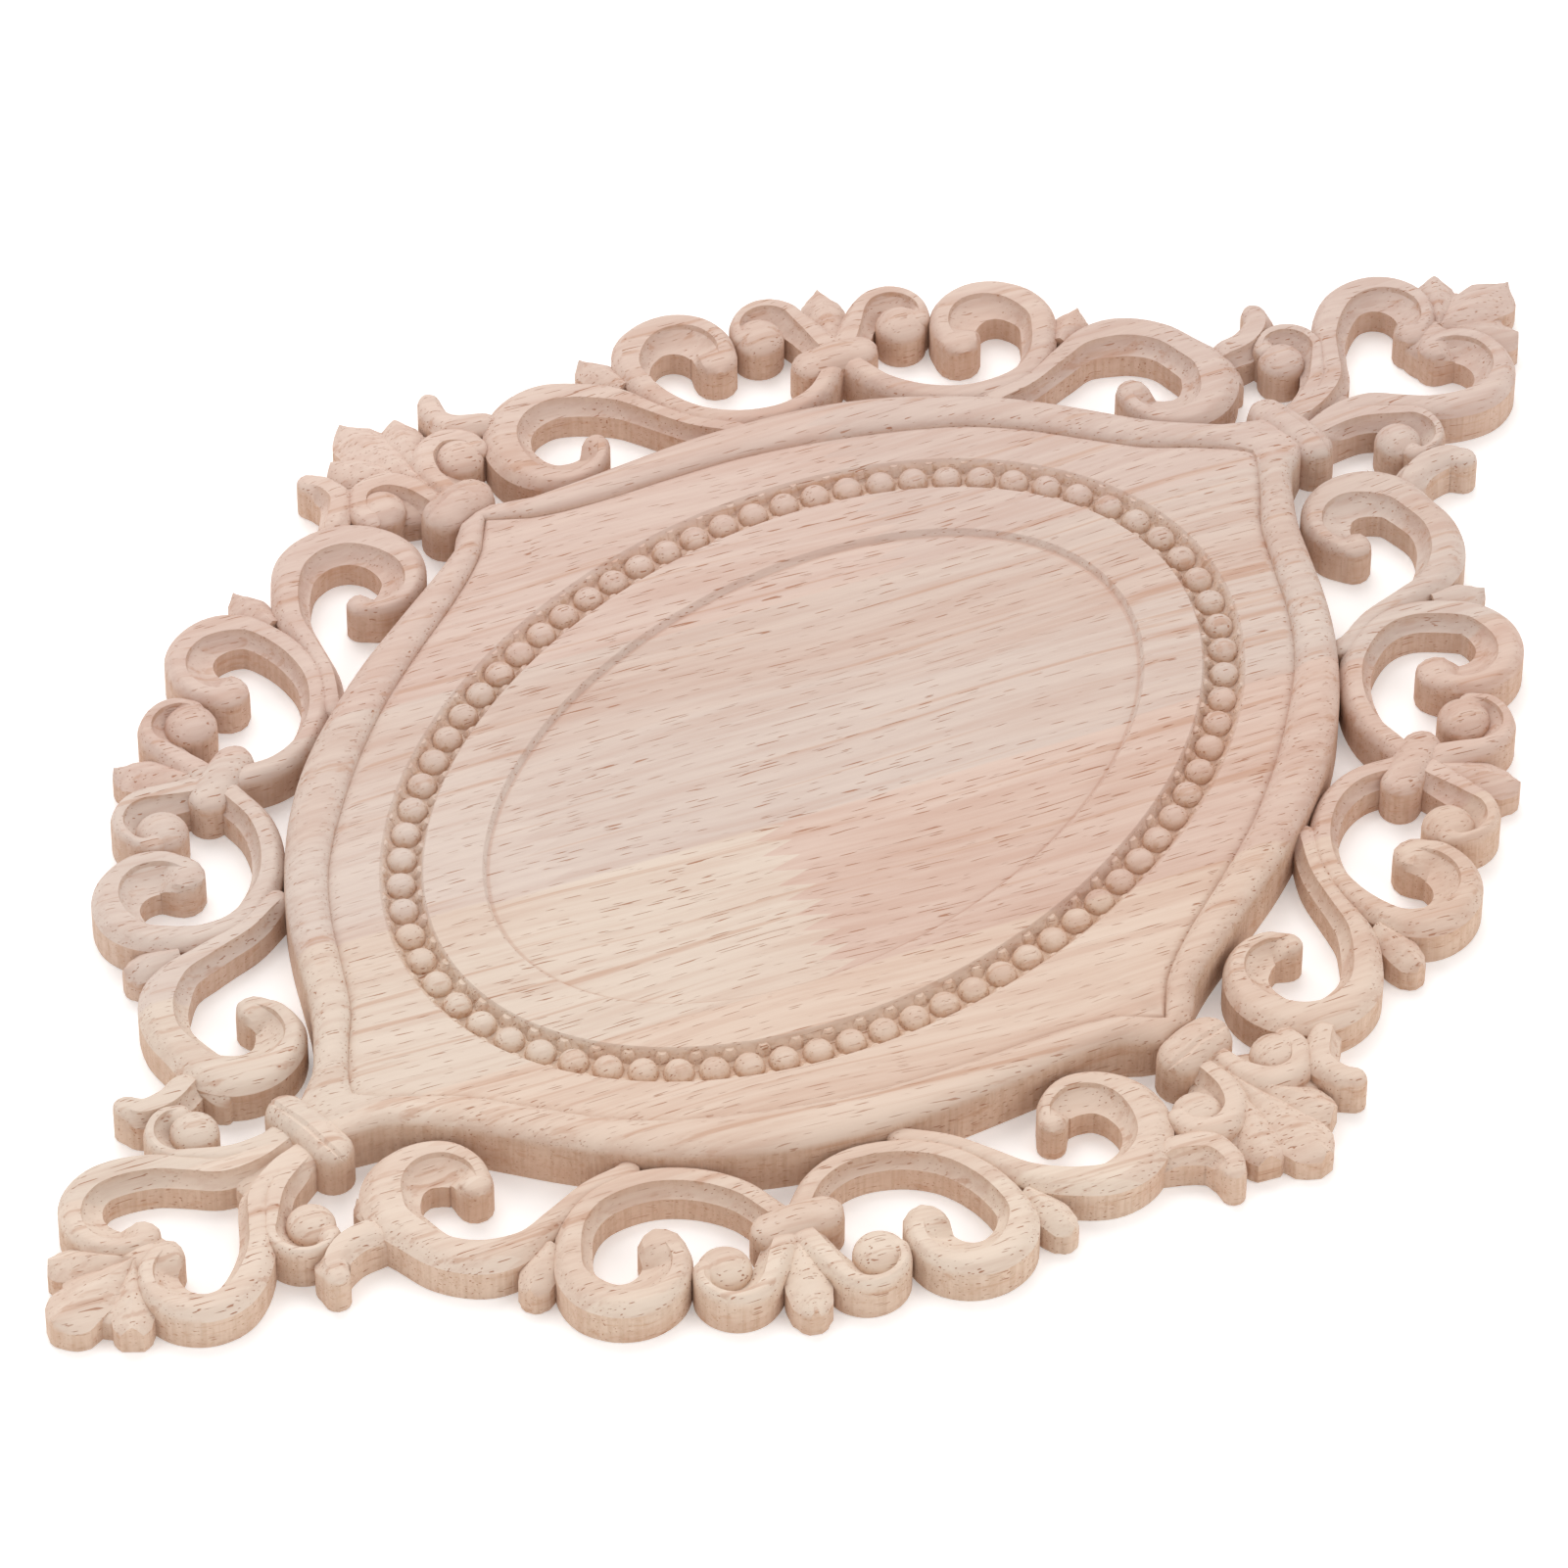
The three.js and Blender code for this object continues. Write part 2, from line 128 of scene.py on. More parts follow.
# a closed solid: the first ring is drawn up through the others, and both ends are filled
def ringSolid(rings):
    bm = bmesh.new()
    ring = [bm.verts.new(Vector(p) * mm) for p in rings[0]]
    first = ring
    edges = [bm.edges.new((ring[i], ring[(i + 1) % len(ring)])) for i in range(len(ring))]
    for points in rings[1:]:
        bm.verts.index_update()
        made = bmesh.ops.extrude_edge_only(bm, edges=edges)["geom"]
        fresh = {g for g in made if isinstance(g, bmesh.types.BMVert)}
        edges = [g for g in made if isinstance(g, bmesh.types.BMEdge)]
        edges = [e for e in edges if e.verts[0] in fresh and e.verts[1] in fresh]
        ring = [next(e.other_vert(v) for e in v.link_edges if e.other_vert(v) in fresh) for v in ring]
        for v, p in zip(ring, points):
            v.co = Vector(p) * mm
    bm.faces.new(first)
    bm.faces.new(ring)
    bmesh.ops.recalc_face_normals(bm, faces=bm.faces)
    return bm


def asObject(bm, name):
    mesh = bpy.data.meshes.new(name)
    bm.to_mesh(mesh)
    bm.free()
    obj = bpy.data.objects.new(name, mesh)
    bpy.context.scene.collection.objects.link(obj)
    return obj


def joined(base, others, name):
    for other in others:
        union = base.modifiers.new(other.name, "BOOLEAN")
        union.operation = "UNION"
        union.solver = "MANIFOLD"
        union.object = other
    seen = base.evaluated_get(bpy.context.evaluated_depsgraph_get())
    mesh = bpy.data.meshes.new_from_object(seen)
    whole = bpy.data.objects.new(name, mesh)
    bpy.context.scene.collection.objects.link(whole)
    for old in [base] + others:
        bpy.data.objects.remove(old)
    return whole


# where unions leave slivers: points that all but meet are merged, the folded faces go, and
# slits are drawn shut; both reaches are in metres
slitMake = {"near": 0.000004, "across": 0.00015}


def closeSlits(bm):
    bmesh.ops.triangulate(bm, faces=bm.faces)
    corners = bm.verts
    for reach in (slitMake["near"], slitMake["across"], slitMake["across"]):
        bmesh.ops.remove_doubles(bm, verts=corners, dist=reach)
        sameCorners = {}
        for face in bm.faces:
            sameCorners.setdefault(frozenset(face.verts), []).append(face)
        folded = [face for group in sameCorners.values() if len(group) > 1 for face in group]
        bmesh.ops.delete(bm, geom=folded, context="FACES")
        stray = [face for face in bm.faces if all(edge.is_boundary for edge in face.edges)]
        bmesh.ops.delete(bm, geom=stray, context="FACES")
        corners = [v for v in bm.verts if any(len(edge.link_faces) != 2 for edge in v.link_edges)]
    bmesh.ops.delete(bm, geom=[edge for edge in bm.edges if not edge.link_faces], context="EDGES")
    bmesh.ops.delete(bm, geom=[v for v in bm.verts if not v.link_faces], context="VERTS")


def domeTop(a, edge, crest, power=2.4):
    return edge + (crest - edge) * math.sqrt(max(0, 1 - abs(a) ** power))


# a section swept along a line: a runs from 1 on the outer side to -1 on the inner side
sweepMake = {"lowestTop": 0.4, "capOverrun": 0.6}


def sweepSolid(spots, widthAt, topAt, placesAt, outer, endDrop, capSteps):
    first, last = spots[0], spots[-1]
    rings = []

    def ring(at, way, half, spot, lower):
        left = Vector((-way.y, way.x))
        row = [(1, None)] + [(a, topAt(a, spot) - lower) for a in placesAt(spot)] + [(-1, None)]
        points = []
        for a, z in row:
            p = at + left * (a * outer * half)
            points.append((p.x * unit, p.y * unit, 0 if z is None else max(sweepMake["lowestTop"], z)))
        return points

    turns = [math.radians(90 * i / (capSteps + sweepMake["capOverrun"])) for i in range(1, capSteps + 1)]
    for turn in reversed(turns):
        half = widthAt(first) / 2
        rings.append(ring(first["at"] - first["way"] * half * math.sin(turn), first["way"],
                          half * math.cos(turn), first, endDrop * (1 - math.cos(turn))))
    for spot in spots:
        rings.append(ring(spot["at"], spot["way"], widthAt(spot) / 2, spot, 0))
    for turn in turns:
        half = widthAt(last) / 2
        rings.append(ring(last["at"] + last["way"] * half * math.sin(turn), last["way"],
                          half * math.cos(turn), last, endDrop * (1 - math.cos(turn))))
    return ringSolid(rings)


# scrolls: rounded outer side, crisp ridge, hollow inner side
scrollMake = {
    "turnPerStep": 9.0, "longestStep": 4.0, "capSteps": 3, "fullness": 0.4, "endDrop": 1.8,
    "stepPlace": -0.42, "stepAtCurl": 0.2, "stepWide": 0.07, "crestPlace": 0.48, "ridgeFall": 0.3,
    "hollowPower": 1.7, "outerPlaces": 4, "innerPlaces": 5,
    "curlRun": (7, 27), "tipRun": 4.0, "tailRun": 5.0, "tipDropRun": 7,
}


def crestAndFoot(step):
    return step + scrollMake["crestPlace"] * (1 - step), step - scrollMake["stepWide"]


def scrollTop(a, step):
    h = heights
    crest, foot = crestAndFoot(step)
    fall = scrollMake["ridgeFall"]
    if a >= crest:
        return h["scrollOuter"] + (h["scrollRidge"] - h["scrollOuter"]) * (1 - ((a - crest) / (1 - crest)) ** 2)
    if a >= step:
        return h["scrollRidge"] - fall * ((crest - a) / (crest - step)) ** 2
    if a >= foot:
        shoulder = h["scrollRidge"] - fall
        return h["scrollStep"] + (shoulder - h["scrollStep"]) * (a - foot) / (step - foot)
    slope = max(0, (a + 1) / (foot + 1)) ** scrollMake["hollowPower"]
    return h["scrollInner"] + (h["scrollStep"] - h["scrollInner"]) * slope


def scrollPlaces(step):
    # closer together at the outer edge and at the step
    crest, foot = crestAndFoot(step)
    outerCount, innerCount = scrollMake["outerPlaces"], scrollMake["innerPlaces"]
    outerSide = [crest + (1 - crest) * i / outerCount for i in range(outerCount, 0, -1)]
    innerSide = [foot - (foot + 1) * i / innerCount for i in range(1, innerCount + 1)]
    return outerSide + [crest, (crest + step) / 2, step, foot] + innerSide


def scrollSolid(spec):
    turn = turnPoints(spec["eye"], spec["radii"], spec["start"], spec["sweep"]) if "eye" in spec else []
    spots = stations(turn + [Vector(p) for p in spec["run"]], scrollMake["turnPerStep"], scrollMake["longestStep"])

    def stepAt(spot):
        # the hollow widens inside the curl
        curled = 1 - soft(*scrollMake["curlRun"], spot["run"]) if "eye" in spec else 0
        return scrollMake["stepPlace"] + (scrollMake["stepAtCurl"] - scrollMake["stepPlace"]) * curled

    def topAt(a, spot):
        tip = 1 - soft(0, spec.get("tipRun", scrollMake["tipRun"]), spot["run"])
        tail = 1 - soft(0, scrollMake["tailRun"], spot["left"])
        plain = max(tip, tail)
        dome = domeTop(a, heights["scrollOuter"], heights["scrollRidge"] - scrollMake["ridgeFall"])
        lowered = spec.get("tipDrop", 0) * (1 - soft(0, scrollMake["tipDropRun"], spot["run"]))
        return scrollTop(a, stepAt(spot)) * (1 - plain) + dome * plain - lowered

    return sweepSolid(spots, lambda spot: keyed(spec["widths"], spot["share"]) + scrollMake["fullness"], topAt,
                      lambda spot: scrollPlaces(stepAt(spot)), spec["outer"], scrollMake["endDrop"],
                      scrollMake["capSteps"])


# bars with a rounded top: tie, collars and stems
barMake = {"across": 9, "steps": 8, "capSteps": 5, "turnPerStep": 9, "endDrop": 1.6, "hump": 0.8,
           "crease": 0.34, "creaseWide": 0.1, "creaseDeep": 0.5}


def barSolid(start, end, width, crest, edge, endDrop=barMake["endDrop"], creased=0):
    # creased: 1 or -1 for a crease on the left or the right of the crest
    start, end = Vector(start), Vector(end)
    spots = stations([start, start.lerp(end, 0.5), end], barMake["turnPerStep"],
                     (end - start).length / barMake["steps"])
    count = barMake["across"]
    places = [math.sin(math.pi / 2 * i / count) for i in range(count, -count - 1, -1)]

    def topAt(a, spot):
        middle = math.sin(math.pi * spot["share"])
        near = max(0, 1 - abs(a * creased - barMake["crease"]) / barMake["creaseWide"]) if creased else 0
        return domeTop(a, edge, crest - barMake["hump"] + barMake["hump"] * middle) - barMake["creaseDeep"] * near

    return sweepSolid(spots, lambda spot: width, topAt, lambda spot: places, 1, endDrop, barMake["capSteps"])


# pointed leaves with a creased middle; each shape is keyed by share of the length and of the width
leafMake = {
    "leaf": [(0.0, 0.72), (0.35, 0.93), (0.6, 1.0), (0.8, 0.9), (0.93, 0.6), (1.0, 0.26)],
    "petal": [(0.0, 0.24), (0.35, 0.7), (0.72, 1.0), (0.9, 0.86), (1.0, 0.5)],
    "fan": [(0.0, 0.3), (0.22, 0.66), (0.5, 0.92), (0.78, 1.0), (0.9, 0.78), (0.97, 0.42), (1.0, 0.12)],
    "middle": [(0.0, 0.25), (0.35, 0.5), (0.6, 0.85), (0.75, 1.0), (0.88, 0.88), (0.96, 0.6), (1.0, 0.26)],
    "steps": 18,
    "across": (-1, -1, -0.86, -0.64, -0.38, -0.14, 0, 0.14, 0.38, 0.64, 0.86, 1, 1),
    "round": 0.66, "ridge": 0.34, "ridgePower": 1.4, "tipDrop": 1.5, "dropFrom": 0.45,
}


def leafSolid(root, tip, halfWidth, shape="leaf"):
    root, tip = Vector(root), Vector(tip)
    way = (tip - root).normalized()
    left = Vector((-way.y, way.x))
    low, tall = heights["leafEdge"], heights["leafRidge"] - heights["leafEdge"]
    rings = []
    for i in range(leafMake["steps"] + 1):
        share = i / leafMake["steps"]
        wide = keyed(leafMake[shape], share) * halfWidth
        drop = leafMake["tipDrop"] * soft(leafMake["dropFrom"], 1, share)
        at = root.lerp(tip, share)
        ring = []
        for a in leafMake["across"]:
            p = at + left * (a * wide)
            swell = leafMake["round"] * (1 - a * a) + leafMake["ridge"] * (1 - abs(a)) ** leafMake["ridgePower"]
            ring.append([p.x * unit, p.y * unit, low + tall * swell - drop])
        ring[0][2] = ring[-1][2] = 0
        rings.append(ring)
    return ringSolid(rings)


# round bosses: balls, and the webs behind the leaves
bossMake = {"dome": 0.72, "deepestDome": 0.4, "levels": 7, "around": 28}


def bossSolid(at, radius, top, dome=bossMake["dome"]):
    around, levelCount = bossMake["around"], bossMake["levels"]
    deep = min(radius * dome, top * bossMake["deepestDome"])
    turns = [math.radians(90 * i / levelCount) for i in range(1, levelCount)]
    levels = [(1, 0), (1, top - deep)] + [(math.cos(t), top - deep * (1 - math.sin(t))) for t in turns]
    rings = []
    for share, z in levels:
        rings.append([((at[0] + share * radius * math.cos(2 * math.pi * i / around)) * unit,
                       (at[1] + share * radius * math.sin(2 * math.pi * i / around)) * unit, z)
                      for i in range(around)])
    return ringSolid(rings)


# one quarter: a curl turns about its eye and then follows its run; widths are keyed by share of the length
scrolls = [
    {"name": "shortSideHook", "eye": (30, 104), "radii": (6.5, 12.8), "start": -60, "sweep": -260, "outer": 1,
     "run": [(45.6, 105), (48.4, 96.5), (51.5, 88.5), (57, 80.5)],
     "widths": [(0, 5.5), (0.12, 8.5), (0.25, 10), (0.45, 9.2), (0.62, 7.5), (0.8, 5), (1, 5)]},
    {"name": "shortSideScroll", "eye": (62.5, 104.5), "radii": (8.2, 9.6), "start": -38, "sweep": 215, "outer": -1,
     "run": [(52.5, 98), (54.5, 90), (60, 82.8), (68, 78), (76, 77.3), (85, 81)],
     "widths": [(0, 8.8), (0.1, 9.6), (0.25, 9), (0.4, 6.4), (0.7, 5.5), (1, 5.5)]},
    {"name": "shortSideVolute", "eye": (82.5, 97.5), "radii": (5.5, 6), "start": 150, "sweep": -165, "outer": 1,
     "run": [(88.3, 92), (87.5, 84)], "widths": [(0, 5), (0.5, 6.5), (1, 7)]},
    {"name": "longSideVolute", "eye": (103.5, 82.2), "radii": (5.5, 6.2), "start": -40, "sweep": 150, "outer": -1,
     "run": [(97, 86), (90, 82.5)], "widths": [(0, 5), (0.5, 6.5), (1, 7)]},
    {"name": "longSideScroll", "eye": (117, 65.5), "radii": (8.1, 9.6), "start": 160, "sweep": -210, "outer": 1,
     "run": [(117, 53), (110, 51.3), (100, 54.5), (93, 61), (89, 69), (88.3, 76), (88, 81)],
     "widths": [(0, 9), (0.1, 9.9), (0.25, 9), (0.35, 7.2), (0.5, 6.2), (0.8, 6.2), (1, 6)]},
    {"name": "longSideHook", "eye": (130.5, 29.5), "radii": (7, 10.3), "start": 164, "sweep": 211, "outer": -1,
     "run": [(139.5, 39), (135, 45.5), (128, 49), (120, 48.8), (110, 48.2), (101, 50)],
     "widths": [(0, 7), (0.12, 10), (0.28, 11.5), (0.45, 9), (0.6, 9.5), (0.75, 6), (0.85, 5), (1, 5)]},
    {"name": "shortEndHookedLeaf", "outer": 1, "tipDrop": 3.2,
     "run": [(27, 116.5), (20.8, 119.8), (15.8, 124), (15.6, 128.5), (17, 131.6)],
     "widths": [(0, 4.5), (0.3, 6), (0.6, 7), (0.85, 6), (1, 4.5)]},
    {"name": "longEndHookedLeaf", "outer": 1, "tipDrop": 3.2,
     "run": [(141, 29), (147, 26), (152, 25.3), (157, 27), (158.6, 30)],
     "widths": [(0, 5), (0.3, 7), (0.6, 7), (0.85, 6.4), (1, 5)]},
    {"name": "ballVolute", "eye": (154.6, 17.2), "radii": (4.6, 6), "start": 115, "sweep": -170, "outer": 1,
     "run": [(152, 6.5), (143, 3.5)], "widths": [(0, 4.5), (0.5, 5.5), (1, 6)]},
    {"name": "heartScroll", "eye": (176, 10.2), "radii": (7.2, 9.5), "start": -70, "sweep": 190, "outer": -1,
     "run": [(165, 14.5), (161, 10), (156.5, 5), (149, 2.5), (141, 2.5)],
     "widths": [(0, 7), (0.15, 8.5), (0.4, 7.7), (0.7, 6.3), (1, 6.3)]},
    {"name": "shortEndVolute", "outer": 1, "tipRun": 1.0,
     "run": [(2.2, 108), (3, 116), (6, 120.5), (11, 121.5), (14.8, 118), (15, 115)],
     "widths": [(0, 5), (0.4, 6.8), (0.8, 6), (1, 4.8)]},
]
balls = [((80.1, 98.1), 5.4), ((104.1, 80.1), 5.4), ((153.0, 16.6), 4.9), ((11, 116), 5.2)]
leaves = [((2, 119), (9, 133.6), 4.7, "petal"), ((184, 0.5), (195, 12), 4.3, "petal"), ((144, 27), (142.2, 18), 2.2),
          ((49.5, 107), (48.8, 119.7), 3.7), ((90, 86), (99.2, 100), 4.6), ((124, 53), (134.4, 57.9), 3.7)]
tieMake = {"start": (81.4, 83.9), "end": (91.6, 80.1), "width": 8.4, "endDrop": 2.4}

quarterParts = [asObject(scrollSolid(spec), spec["name"]) for spec in scrolls]
quarterParts += [asObject(bossSolid(at, radius, heights["ball"]), "ball") for at, radius in balls]
quarterParts += [asObject(leafSolid(*leaf), "leaf") for leaf in leaves]
quarterParts.append(asObject(barSolid(tieMake["start"], tieMake["end"], tieMake["width"], heights["tie"],
                                      heights["tieEdge"], tieMake["endDrop"]), "tie"))
quarter = joined(quarterParts[0], quarterParts[1:], "quarter")
print("quarter of the scrollwork joined", len(quarter.data.polygons))


def mirroredQuarter(signX, signY):
    bm = bmesh.new()
    bm.from_mesh(quarter.data)
    bmesh.ops.transform(bm, matrix=Matrix.Diagonal((signX, signY, 1, 1)), verts=bm.verts)
    if signX * signY < 0:
        bmesh.ops.reverse_faces(bm, faces=bm.faces)
    return asObject(bm, "quarterCopy")


# panel: recess, band, bead channel, flat and border moulding
# each ring is a place in millimetres, the height it starts from, and what is added to that
panelMake = {
    "steps": 240, "perSpan": 80, "channelWide": 8.6, "recessLength": 78.3, "recessWidth": 49.1,
    "recessRings": [(-6, "recess", 0), (-0.9, "recess", -0.05), (-0.3, "recess", -0.05), (0.0, "recess", 0.15),
                    (0.5, "recess", 1.15), (0.75, "band", -0.36), (1.7, "band", -0.28), (5, "band", -0.12)],
    "innerWall": [(0.9, "band", 0), (0.3, "band", -0.05), (0, "band", -0.4),
                  (-0.4, "channel", 1.0), (-1.2, "channel", 0.2), (-2.2, "channel", 0)],
    "outerWall": [(2.3, "channel", 0), (1.6, "channel", 0.4), (0.9, "channel", 1.3),
                  (0.3, "panel", -0.4), (0, "panel", -0.1), (-0.5, "panel", 0)],
}

# border moulding: its shares run from the fillet line (0) to the edge line (1)
mouldingMake = {
    "edge": [(0, 100), (5.6, 99.6), (8.8, 95.8), (15, 93), (30, 88.6), (45, 84.2), (55, 80.4), (65, 76), (75, 70.6),
             (85, 63.4), (95, 54), (102, 46), (108, 37.5), (113.3, 28.8), (118.3, 20.8), (123.3, 14.8), (128.3, 9.8),
             (134.5, 6.8), (138, 5), (139, 0)],
    "fillet": [(0, 96.5), (2, 95), (5, 91.8), (10, 88.5), (20, 84), (35, 78.6), (50, 72.6), (65, 64.6), (80, 54.6),
               (90, 46.4), (98, 37), (105, 26.4), (112, 16.2), (118.5, 9.8), (122.4, 5.6), (125, 2.6), (126.5, 0)],
    "cove": [(-0.3, 0.0), (-0.18, 0.1), (-0.08, 0.35), (0.0, heights["coveDeep"])], "coveSink": 0.6,
    "crest": 0.46, "upSteps": 5, "downSteps": 6, "rollPower": 0.9,
    "sinkLong": (122, 136), "sinkShort": (91, 99),
}


def quarterLine(points):
    steps = panelMake["steps"] // 4
    line = denseLine(points, panelMake["perSpan"])
    line.reverse()
    angles = [math.atan2(p.y / oval["halfWidth"], p.x / oval["halfLength"]) for p in line]
    picked = []
    for i in range(steps + 1):
        wanted = math.pi / 2 * i / steps
        picked.append(min(zip(angles, line), key=lambda pair: abs(pair[0] - wanted))[1])
    return picked


def allRound(line, z, sinking=0.0):
    # the moulding sinks a little where it runs under the collars
    right = line[:-1]
    left = [Vector((-p.x, p.y)) for p in reversed(line[1:])]
    under = [-p for p in right]
    close = [Vector((p.x, -p.y)) for p in reversed(line[1:])]
    ring = []
    for p in right + left + under + close:
        sunk = max(soft(*mouldingMake["sinkLong"], abs(p.x)), soft(*mouldingMake["sinkShort"], abs(p.y)))
        ring.append((p.x * unit, p.y * unit, z - sinking * sunk))
    return ring


def ovalRing(halfLength, halfWidth, z):
    steps = panelMake["steps"]
    return [(halfLength * math.cos(2 * math.pi * i / steps), halfWidth * math.sin(2 * math.pi * i / steps), z)
            for i in range(steps)]


def panelSolid():
    h = heights
    a, b, wide = oval["halfLength"], oval["halfWidth"], panelMake["channelWide"]
    rings = []
    for out, level, extra in panelMake["recessRings"]:
        rings.append(ovalRing(panelMake["recessLength"] + out, panelMake["recessWidth"] + out, h[level] + extra))
    for inward, level, extra in panelMake["innerWall"]:
        rings.append(ovalRing(a - (wide + inward), b - (wide + inward), h[level] + extra))
    for inward, level, extra in panelMake["outerWall"]:
        rings.append(ovalRing(a - inward, b - inward, h[level] + extra))

    edge, fillet = quarterLine(mouldingMake["edge"]), quarterLine(mouldingMake["fillet"])

    def between(share):
        return [f.lerp(e, share) for f, e in zip(fillet, edge)]

    sink, crest, power = h["mouldingSink"], mouldingMake["crest"], mouldingMake["rollPower"]
    for share, lower in mouldingMake["cove"]:
        rings.append(allRound(between(share), h["panel"] - lower, sink * (mouldingMake["coveSink"] + share)))
    low = h["panel"] - h["coveDeep"]
    for i in range(1, mouldingMake["upSteps"] + 1):
        turn = math.radians(90 * i / mouldingMake["upSteps"])
        z = low + (h["moulding"] - low) * math.sin(turn) ** power
        rings.append(allRound(between(crest * (1 - math.cos(turn))), z, sink))
    for i in range(1, mouldingMake["downSteps"] + 1):
        turn = math.radians(90 * i / mouldingMake["downSteps"])
        z = h["mouldingEdge"] + (h["moulding"] - h["mouldingEdge"]) * math.cos(turn) ** power
        rings.append(allRound(between(crest + (1 - crest) * math.sin(turn)), z, sink))
    rings.append(allRound(edge, 0))
    return ringSolid(rings)


# beads stand close together in the channel, with a cusp of its walls beside each gap
beadMake = {"count": 74, "radius": 3.2, "centre": 8.5, "around": 16, "rows": 10, "fineSteps": 5920}
cuspMake = {"foot": 2.8, "tip": 0.9, "top": 10.7, "aside": 4.1, "around": 8, "belowChannel": 1}


def beadPlaces(shift):
    # even steps along the middle of the channel
    a = oval["halfLength"] - panelMake["channelWide"] / 2
    b = oval["halfWidth"] - panelMake["channelWide"] / 2
    fine = beadMake["fineSteps"]
    spots = [Vector((a * math.cos(2 * math.pi * i / fine), b * math.sin(2 * math.pi * i / fine)))
             for i in range(fine + 1)]
    run = [0.0]
    for p, q in zip(spots, spots[1:]):
        run.append(run[-1] + (q - p).length)
    places, k = [], 0
    for i in range(beadMake["count"]):
        wanted = run[-1] * (i + shift) / beadMake["count"]
        while run[k] < wanted:
            k += 1
        places.append(spots[k])
    return places


def beadObject():
    bm = bmesh.new()
    for p in beadPlaces(0.5):
        bmesh.ops.create_uvsphere(bm, u_segments=beadMake["around"], v_segments=beadMake["rows"],
                                  radius=beadMake["radius"] * mm,
                                  matrix=Matrix.Translation((p.x * mm, p.y * mm, beadMake["centre"] * mm)))
    return asObject(bm, "beads")


def cuspObject():
    bm = bmesh.new()
    low = heights["channel"] - cuspMake["belowChannel"]
    tall = cuspMake["top"] - low
    for p in beadPlaces(1.0 - 1e-6):  # a full step would run past the end of the line
        out = Vector((p.x / oval["halfLength"] ** 2, p.y / oval["halfWidth"] ** 2)).normalized()
        for side in (-1, 1):
            spot = p + out * (side * cuspMake["aside"])
            bmesh.ops.create_cone(bm, cap_ends=True, segments=cuspMake["around"], radius1=cuspMake["foot"] * mm,
                                  radius2=cuspMake["tip"] * mm, depth=tall * mm,
                                  matrix=Matrix.Translation((spot.x * mm, spot.y * mm, (low + tall / 2) * mm)))
    return asObject(bm, "beadCusps")


# what stands on the two axes: short pieces are mirrored in y, long ones in x
axisPieces = [
    {"name": "shortCollar", "mirror": "y", "bar": ((-3.6, 104.6), (3.6, 104.6)), "width": 10,
     "crest": heights["collar"], "edge": heights["collarEdge"], "endDrop": 3.6, "creased": 1},
    {"name": "longCollar", "mirror": "x", "bar": ((138, -6.4), (138, 6.4)), "width": 8.8,
     "crest": heights["collar"], "edge": heights["collarEdge"], "endDrop": 3.6, "creased": -1},
    {"name": "shortStem", "mirror": "y", "bar": ((0, 98), (0, 117)), "width": 3.4,
     "crest": heights["stem"] - 0.2, "edge": heights["stem"] - 1.2},
    {"name": "longStem", "mirror": "x", "bar": ((138, 0), (152, 0)), "width": 9,
     "crest": heights["stem"] - 1.2, "edge": heights["stem"] - 2.4},
    {"name": "shortEndLeaf", "mirror": "y", "leaf": ((0, 109), (0, 140.5)), "halfWidth": 6, "shape": "middle"},
    {"name": "longEndLeaf", "mirror": "x", "leaf": ((184, 0), (204.8, 0)), "halfWidth": 5.8, "shape": "fan"},
    {"name": "longEndBoss", "mirror": "x", "boss": (181, 0), "radius": 6.2, "top": heights["fanBoss"]},
    {"name": "palmetteWeb", "mirror": "y", "boss": (0, 121), "radius": 13.4, "top": heights["web"], "dome": 0.2},
    {"name": "fanWeb", "mirror": "x", "boss": (188, 0), "radius": 10.6, "top": heights["web"], "dome": 0.25},
]


def axisSolid(piece, sign):
    def placed(point):
        return (point[0] * sign, point[1]) if piece["mirror"] == "x" else (point[0], point[1] * sign)

    if "bar" in piece:
        return barSolid(*(placed(p) for p in piece["bar"]), piece["width"], piece["crest"], piece["edge"],
                        piece.get("endDrop", barMake["endDrop"]), piece.get("creased", 0) * sign)
    if "leaf" in piece:
        return leafSolid(*(placed(p) for p in piece["leaf"]), piece["halfWidth"], piece["shape"])
    return bossSolid(placed(piece["boss"]), piece["radius"], piece["top"], piece.get("dome", bossMake["dome"]))


sharpAngle = 31
panel = asObject(panelSolid(), "panel")
axisParts = [asObject(axisSolid(piece, sign), piece["name"]) for sign in (1, -1) for piece in axisPieces]
quarters = [mirroredQuarter(x, y) for x, y in ((1, 1), (-1, 1), (-1, -1), (1, -1))]
bpy.data.objects.remove(quarter)
carving = joined(panel, [beadObject(), cuspObject()] + axisParts + quarters, "carving")

bm = bmesh.new()
bm.from_mesh(carving.data)
closeSlits(bm)
for face in bm.faces:
    face.smooth = True
bm.to_mesh(carving.data)
bm.free()
carving.data.set_sharp_from_angle(angle=math.radians(sharpAngle))
carving.data.calc_loop_triangles()
print("carving joined", len(carving.data.loop_triangles))
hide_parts("carved_applique")
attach(carving, "root")


